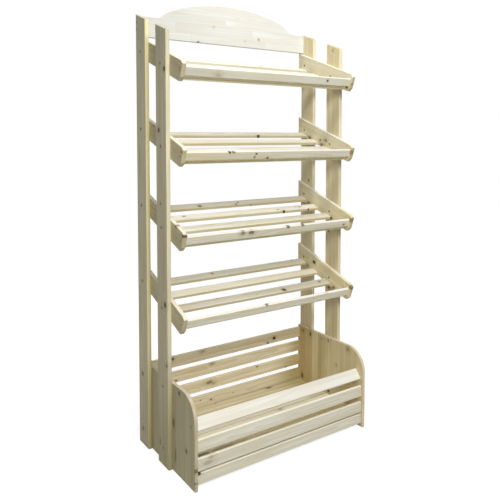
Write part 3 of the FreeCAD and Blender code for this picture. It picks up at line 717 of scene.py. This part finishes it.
for (side, row), front in POST_FRONT_LIGHT_AND_SHADE.items():
    dress(f"{row}_{side}_post", LIES["upright"], LEFT_POST if side == "left" else RIGHT_POST,
          figure=1.0 if side == "left" else 0.7,
          clear=0.8 if (side, row) == ("left", "front") else 1.0, under=front)
dress("header_board", LIES["across_standing"], HEADER, strips=(0.045, 0.42, 0.07), clear=1.0)
for shelf in range(1, SHELVES + 1):
    for side, wood in (("left", LEFT_SIDE), ("right", RIGHT_SIDE)):
        # The sides' over tint is a painted highlight on their top edges.
        dress(f"shelf_{shelf}_{side}_side", LIES["shelf_side"], wood, over=(1.01, 1.09, 1.38),
              clear=1.0 if (shelf, side) == (2, "left") else 0.8)
    wood, front = (TOP_SLAT, TOP_SLAT_FRONT_SHADE) if shelf == 1 else (SLAT, SLAT_FRONT_SHADE)
    for slat in range(1, SLATS + 1):
        last = slat == SLATS
        dress(f"shelf_{shelf}_slat_{slat}", LIES["shelf_slat"], wood, figure=1.3,
              under=PAINTED_LIGHT_BY_RAIL if last else front, rim=PAINTED_SHADOW_BY_RAIL if last else WHITE)
    # The rails' under tint is painted shade on their undersides, and their over tint a painted
    # highlight on their top edges.
    dress(f"shelf_{shelf}_front_rail", LIES["shelf_rail"], RAIL, figure=1.4,
          clear=1.0 if shelf <= 2 else 0.8, under=(0.50, 0.38, 0.18), over=(1.06, 1.09, 1.26))
# On the bin ends the under tint is painted light and shade on their front edges, and the ends tint
# a painted highlight on their top edges.
dress("bin_left_end", LIES["upright"], LEFT_END, strips=(0.048, 9.0, 0.10), clear=1.0,
      under=(0.97, 0.95, 1.02), ends=(1.02, 0.99, 1.26))
dress("bin_right_end", LIES["upright"], RIGHT_END, strips=(0.048, 9.0, 0.11),
      band=(0.165, 0.075), clear=1.0, under=(0.97, 1.0, 1.27), ends=(0.98, 0.98, 1.28))
for side in ("left", "right"):
    dress(f"bin_{side}_cleat", LIES["front_to_back"], CLEAT)
for slat in range(1, SLATS + 1):
    dress(f"bin_back_slat_{slat}", LIES["across_standing"], BACK_SLAT)
    # Floor boards 2 and 3 take the paler wood as painted light, and the under tint is painted shade
    # on the boards' front edges.
    dress(f"bin_floor_board_{slat}", LIES["across_flat"],
          FLOOR_PAINTED_LIGHTER if slat in (2, 3) else FLOOR_BOARD, figure=1.25, under=(0.8, 0.66, 0.42))
# The front slats' and plinth's under tint is painted shade on their lower faces, and their over
# tint a painted highlight on their top edges.
for board in ("bin_front_slat_1", "bin_front_slat_2", "bin_front_plinth"):
    dress(board, LIES["across_standing"], FRONT_SLAT, clear=0.9, figure=1.4,
          under=(0.75, 0.62, 0.42), over=(1.2, 1.2, 1.2))
dress("bin_lip", LIES["lip"], LIP, clear=0.95, figure=1.4)


# ---- metal ---------------------------------------------------------------------------------

def make_metal(name, dull, bright, roughness, metallic):
    """Plated steel: a soft mottle in the plating, with fine turning marks."""
    material = bpy.data.materials.new(name)
    material.use_nodes = True
    tree = material.node_tree
    shader = tree.nodes["Principled BSDF"]
    where = tree.nodes.new("ShaderNodeTexCoord").outputs["Object"]
    mottle = speckle(tree, where, (420, 420, 420), 3.0)
    feed(tree, shader.inputs["Base Color"], tint(tree, mottle, dull, bright))
    feed(tree, shader.inputs["Roughness"], sums(tree, "MULTIPLY_ADD", mottle, 0.25, roughness))
    shader.inputs["Metallic"].default_value = metallic
    marks = speckle(tree, where, (5200, 5200, 5200))
    relief_on(tree, shader, marks, strength=0.2, distance=0.0001)
    return material


DULL_ZINC = make_metal("dull zinc plated steel", (0.20, 0.175, 0.125), (0.33, 0.29, 0.21),
                       roughness=0.5, metallic=0.3)
DARK_RECESS = make_metal("shadowed driver recess", (0.035, 0.033, 0.03), (0.06, 0.056, 0.05),
                         roughness=0.6, metallic=0.2)
boards["shelf_bolts"].data.materials.clear()
boards["shelf_bolts"].data.materials.append(DULL_ZINC)


# ---- bolt heads, sleeve nuts and screws ----------------------------------------------------

HEAD_SIDES = 36
HEAD_PROFILE = ((1.0, 0.0), (1.0, 0.55), (0.94, 0.88), (0.84, 1.0))     # of radius and of rise
RECESS_PROFILE = ((1.0, 1.0), (0.92, 0.12))                             # of recess and of rise


def hex_socket(turn):
    """Reach of a hexagonal driver recess at an angle, for a recess 1 across its corners."""
    sector = (turn + math.pi / 6) % (math.pi / 3) - math.pi / 6
    return math.cos(math.pi / 6) / math.cos(sector)


def cross_socket(turn):
    """Reach of a cross-shaped driver recess at an angle, for a recess 1 along its arms."""
    return 0.36 + 0.64 * abs(math.cos(2 * turn)) ** 3


def press_head(shape, centre, out, radius, rise, socket, recess):
    """Round head standing on a face: eased rim, top face and driver recess."""
    turn = Vector((0, 0, 1)).rotation_difference(Vector(out)).to_matrix()
    rings = [(radius * wide, rise * high, None) for wide, high in HEAD_PROFILE]
    rings += [(recess * wide, rise * high, socket) for wide, high in RECESS_PROFILE]
    loops = []
    for reach, height, outline in rings:
        loop = []
        for step in range(HEAD_SIDES):
            angle = 2 * math.pi * step / HEAD_SIDES
            far = reach * (outline(angle) if outline else 1)
            spot = Vector((far * math.cos(angle), far * math.sin(angle), height))
            loop.append(shape.verts.new(Vector(centre) + turn @ spot))
        loops.append(loop)
    top = len(HEAD_PROFILE) - 1
    for level, (low, high) in enumerate(zip(loops, loops[1:])):
        for step in range(HEAD_SIDES):
            after = (step + 1) % HEAD_SIDES
            face = shape.faces.new((low[step], low[after], high[after], high[step]))
            face.smooth = level < top
            face.material_index = int(level > top)
    floor = shape.faces.new(loops[-1])
    floor.material_index = 1


def fit_heads(name, places, radius, rise, socket, recess):
    """All the heads of one kind as one piece. Each place is (centre, way out)."""
    shape = bmesh.new()
    for centre, out in places:
        press_head(shape, centre, out, radius, rise, socket, recess)
    mesh = bpy.data.meshes.new(name)
    shape.to_mesh(mesh)
    shape.free()
    piece = bpy.data.objects.new(name, mesh)
    scene.collection.objects.link(piece)
    mesh.materials.append(DULL_ZINC)
    mesh.materials.append(DARK_RECESS)
    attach(piece, "root")


def on_slope(shelf, along, up):
    """Middle-plane place of a point on a shelf side: down the slope, and up from its edge."""
    corner = Vector((0, BACK, SHELF_CORNER - shelf * SHELF_SPACING))
    return corner + DOWN_SLOPE * along + OFF_SLOPE * up


sockets, nuts, rail_ends, bin_ends, header_ends = [], [], [], [], []
for side in (-1, 1):
    outward, inward = (side, 0, 0), (-side, 0, 0)
    for shelf in range(SHELVES):
        for reach in BOLT_REACHES:
            along = reach / math.cos(SLOPE) - BOLT_LINE * math.tan(SLOPE)
            spot = on_slope(shelf, along, BOLT_LINE)
            sockets.append(((side * BOLT_HEADS, spot.y, spot.z), outward))
            nuts.append(((side * SIDE_INSIDE, spot.y, spot.z), inward))
        spot = on_slope(shelf, *RAIL_SCREW)
        rail_ends.append(((side * SIDE_OUTSIDE, spot.y, spot.z), outward))
    bin_ends += [((side * POST_OUTSIDE, y, z), outward) for y, z in BIN_SCREWS]
    header_ends += [((side * POST_OUTSIDE, y, z), outward) for y, z in HEADER_SCREWS]

# Radius and rise of each kind of head, then its driver recess and that one's reach
fit_heads("shelf_bolt_sockets", sockets, 0.0068, 0.0008, hex_socket, 0.0026)
fit_heads("sleeve_nuts", nuts, 0.0055, 0.0008, hex_socket, 0.0026)
fit_heads("rail_screws", rail_ends, 0.0036, 0.0005, cross_socket, 0.0024)
fit_heads("bin_screws", bin_ends, 0.0062, 0.0005, cross_socket, 0.0052)
fit_heads("header_screws", header_ends, 0.0044, 0.0005, cross_socket, 0.0034)


# ---- the studio ----------------------------------------------------------------------------

# Each lamp: its place, the point it looks at, its width and height, and its power
LAMPS = {
    "key_lamp": ((-0.6, -3.0, 2.9), (0, 0, 1.0), (0.8, 1.0), 80.0),
    "high_lamp": ((-0.5, -1.4, 4.1), (0, 0, 1.0), (0.8, 0.8), 58.0),
    "top_lamp": ((0, 0, 3.4), (0, 0, 1.0), (1.2, 1.2), 7.5),
    "side_lamp": ((-1.6, -2.8, 2.7), (0, 0, 1.2), (1.2, 1.2), 25.0),
    "back_lamp": ((0.9, 3.4, 1.9), (0, 0, 1.0), (1.8, 1.8), 34.0),
}


def seen_directly(tree):
    """1 where the camera, a reflection or a clear material looks at it, 0 for light on the rack."""
    path = tree.nodes.new("ShaderNodeLightPath").outputs
    return sums(tree, "MAXIMUM", path["Is Camera Ray"],
                sums(tree, "MAXIMUM", path["Is Glossy Ray"], path["Is Transmission Ray"]))


def light_world(colour, strength):
    """Even light from all round, behind a plain white backdrop."""
    world = bpy.data.worlds.new("studio")
    world.use_nodes = True
    tree = world.node_tree
    tree.nodes.clear()
    output = tree.nodes.new("ShaderNodeOutputWorld")
    mix = tree.nodes.new("ShaderNodeMixShader")
    feed(tree, mix.inputs[0], seen_directly(tree))
    for socket, shade, power in ((mix.inputs[1], colour, strength), (mix.inputs[2], WHITE, 1.0)):
        glow = tree.nodes.new("ShaderNodeBackground")
        glow.inputs["Color"].default_value = (*shade, 1)
        glow.inputs["Strength"].default_value = power
        tree.links.new(glow.outputs[0], socket)
    tree.links.new(mix.outputs[0], output.inputs["Surface"])
    scene.world = world


def lay_floor(reach, glow, fade):
    """Pale studio floor that keeps the rack's shadow and fades out into the white beyond."""
    mesh = bpy.data.meshes.new("studio_floor")
    shape = bmesh.new()
    bmesh.ops.create_grid(shape, x_segments=8, y_segments=8, size=reach)
    shape.to_mesh(mesh)
    shape.free()
    floor = bpy.data.objects.new("studio_floor", mesh)
    scene.collection.objects.link(floor)
    material = bpy.data.materials.new("pale studio floor")
    material.use_nodes = True
    tree = material.node_tree
    shader = tree.nodes["Principled BSDF"]
    where = tree.nodes.new("ShaderNodeTexCoord").outputs["Object"]
    cloud = speckle(tree, where, (2, 2, 2))
    feed(tree, shader.inputs["Base Color"],
         tint(tree, cloud, (0.40, 0.40, 0.395), (0.43, 0.43, 0.425)))
    shader.inputs["Roughness"].default_value = 0.9
    shader.inputs["Specular IOR Level"].default_value = 0.0
    shader.inputs["Emission Color"].default_value = (1, 1, 1, 1)
    feed(tree, shader.inputs["Emission Strength"],
         sums(tree, "MULTIPLY", seen_directly(tree), glow))
    feed(tree, shader.inputs["Alpha"], ramp(tree, arrows(tree, "LENGTH", where), fade[1], fade[0]))
    mesh.materials.append(material)


def hang_lamp(name, place, aim, size, power):
    """Soft white lamp that looks from its place at a point."""
    lamp = bpy.data.lights.new(name, "AREA")
    lamp.shape = "RECTANGLE"
    lamp.size, lamp.size_y = size
    lamp.energy = power
    holder = bpy.data.objects.new(name, lamp)
    holder.location = place
    holder.rotation_euler = (Vector(aim) - Vector(place)).to_track_quat("-Z", "Y").to_euler()
    scene.collection.objects.link(holder)


light_world(colour=(1.0, 0.99, 0.97), strength=0.205)
lay_floor(reach=5.0, glow=0.8, fade=(1.2, 3.2))
for name, lamp in LAMPS.items():
    hang_lamp(name, *lamp)


# ---- camera --------------------------------------------------------------------------------

TILT_DOWN, TURN_RIGHT = 2.985, 34.12    # degrees

eye = bpy.data.cameras.new("camera")
eye.lens = 41.66
eye.sensor_width = 36.0
eye.shift_y = -0.1653
camera = bpy.data.objects.new("camera", eye)
camera.location = (-1.4966, -2.1560, 1.3741)
camera.rotation_euler = (math.radians(90 - TILT_DOWN), 0, math.radians(-TURN_RIGHT))
scene.collection.objects.link(camera)
scene.camera = camera
scene.view_settings.view_transform = "Standard"
